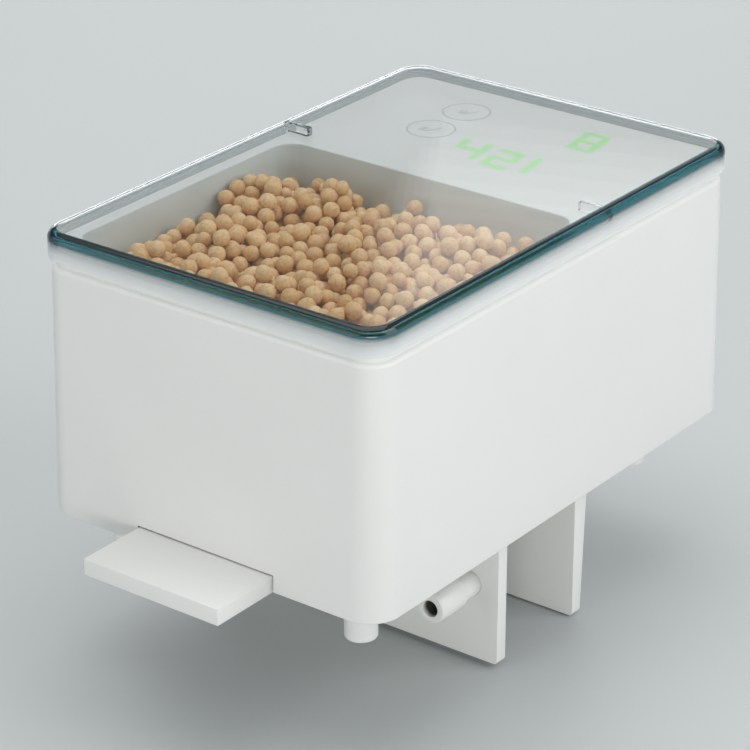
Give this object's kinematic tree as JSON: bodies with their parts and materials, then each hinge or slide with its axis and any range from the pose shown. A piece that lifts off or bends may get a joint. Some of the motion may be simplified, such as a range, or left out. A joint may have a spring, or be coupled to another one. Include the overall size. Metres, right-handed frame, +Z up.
{
  "type": "automatic fish feeder",
  "caption": "Box-shaped dry-feed dispenser with a clear lift-off lid over a hopper and touch panel, a motor-driven feed slide and a two-screw clamp for a tank rim.",
  "frame": {"origin": "flat underside of the base at the middle of the case, between the clamp jaws, where the tank rim bears", "axes": "+Z up, -Y towards the feed side, +X to the right seen from the feed side"},
  "size_m": [0.092, 0.1541, 0.1014],
  "materials": {
    "white_abs": "semi-gloss moulded ABS",
    "grey_abs": "satin moulded ABS",
    "clear_plastic": "polished clear plastic",
    "acetal": "natural acetal",
    "rubber": "matt",
    "steel": "plain",
    "brass": "plain",
    "copper": "plain",
    "board": "solder mask",
    "led_face": "smoked",
    "black_plastic": "matt",
    "cell_sleeve": "printed sleeve, plain",
    "fish_food": "dry"
  },
  "bodies": {
    "body": {"housing": "white_abs", "deck": "white_abs", "hopper_bin": "grey_abs", "food_pellets": "fish_food", "base_plate": "white_abs", "foot_front_left": "white_abs", "foot_front_right": "white_abs", "foot_back_left": "white_abs", "foot_back_right": "white_abs", "gearbox": "brass", "motor": "steel", "motor_bracket": "grey_abs", "guide_rail_left": "acetal", "guide_rail_right": "acetal", "front_jaw": "white_abs", "rear_jaw": "white_abs", "control_board": "board", "digit_module_row": "led_face", "digit_module_single": "led_face", "touch_pad_1": "copper", "touch_pad_2": "copper", "home_switch": "black_plastic", "battery_box": "black_plastic", "cell_1": "cell_sleeve", "cell_2": "cell_sleeve", "contact_plate_left": "steel", "contact_plate_right": "steel", "base_screw_1": "steel", "base_screw_2": "steel", "base_screw_3": "steel", "base_screw_4": "steel", "jaw_screw_1": "steel", "jaw_screw_2": "steel", "jaw_screw_3": "steel", "jaw_screw_4": "steel", "board_screw_1": "steel", "board_screw_2": "steel", "board_screw_3": "steel", "board_screw_4": "steel", "bracket_screw_1": "steel", "bracket_screw_2": "steel"},
    "lid": {"lid": "clear_plastic"},
    "feed_slide": {"feed_slide": "white_abs", "feed_rack": "acetal"},
    "drive": {"pinion": "acetal", "drive_shaft": "steel"},
    "pad_left": {"clamp_pad_left": "rubber"},
    "pad_right": {"clamp_pad_right": "rubber"},
    "screw_left": {"clamp_screw_left": "white_abs"},
    "screw_right": {"clamp_screw_right": "white_abs"},
    "battery_door": {"battery_door": "white_abs"}
  },
  "joints": [
    {"name": "lid_lift", "type": "slide", "parent": "body", "child": "lid", "axis": [0, 0, 1], "range_m": [0, 0.03]},
    {"name": "feed_stroke", "type": "slide", "parent": "body", "child": "feed_slide", "axis": [0, 1, 0], "range_m": [0, 0.0177]},
    {"name": "drive_turn", "type": "hinge", "parent": "body", "child": "drive", "pos_m": [0, 0.005, 0.01495], "axis": [1, 0, 0], "range_deg": [-1, 182]},
    {"name": "pad_left_travel", "type": "slide", "parent": "body", "child": "pad_left", "axis": [0, 1, 0], "range_m": [-0.0015, 0.0055]},
    {"name": "screw_left_turn", "type": "hinge", "parent": "pad_left", "child": "screw_left", "pos_m": [-0.0324, 0, -0.0157], "axis": [0, 1, 0], "range_deg": [-275, 995]},
    {"name": "pad_right_travel", "type": "slide", "parent": "body", "child": "pad_right", "axis": [0, 1, 0], "range_m": [-0.0015, 0.0055]},
    {"name": "screw_right_turn", "type": "hinge", "parent": "pad_right", "child": "screw_right", "pos_m": [0.0324, 0, -0.0157], "axis": [0, 1, 0], "range_deg": [-275, 995]},
    {"name": "battery_door_lift", "type": "slide", "parent": "body", "child": "battery_door", "axis": [0, 0, -1], "range_m": [0, 0.02]}
  ],
  "couplings": [
    {"joint": "drive_turn", "follows": "feed_stroke", "rad_per_m": 178.57},
    {"joint": "screw_left_turn", "follows": "pad_left_travel", "rad_per_m": 3141.6},
    {"joint": "screw_right_turn", "follows": "pad_right_travel", "rad_per_m": 3141.6}
  ]
}
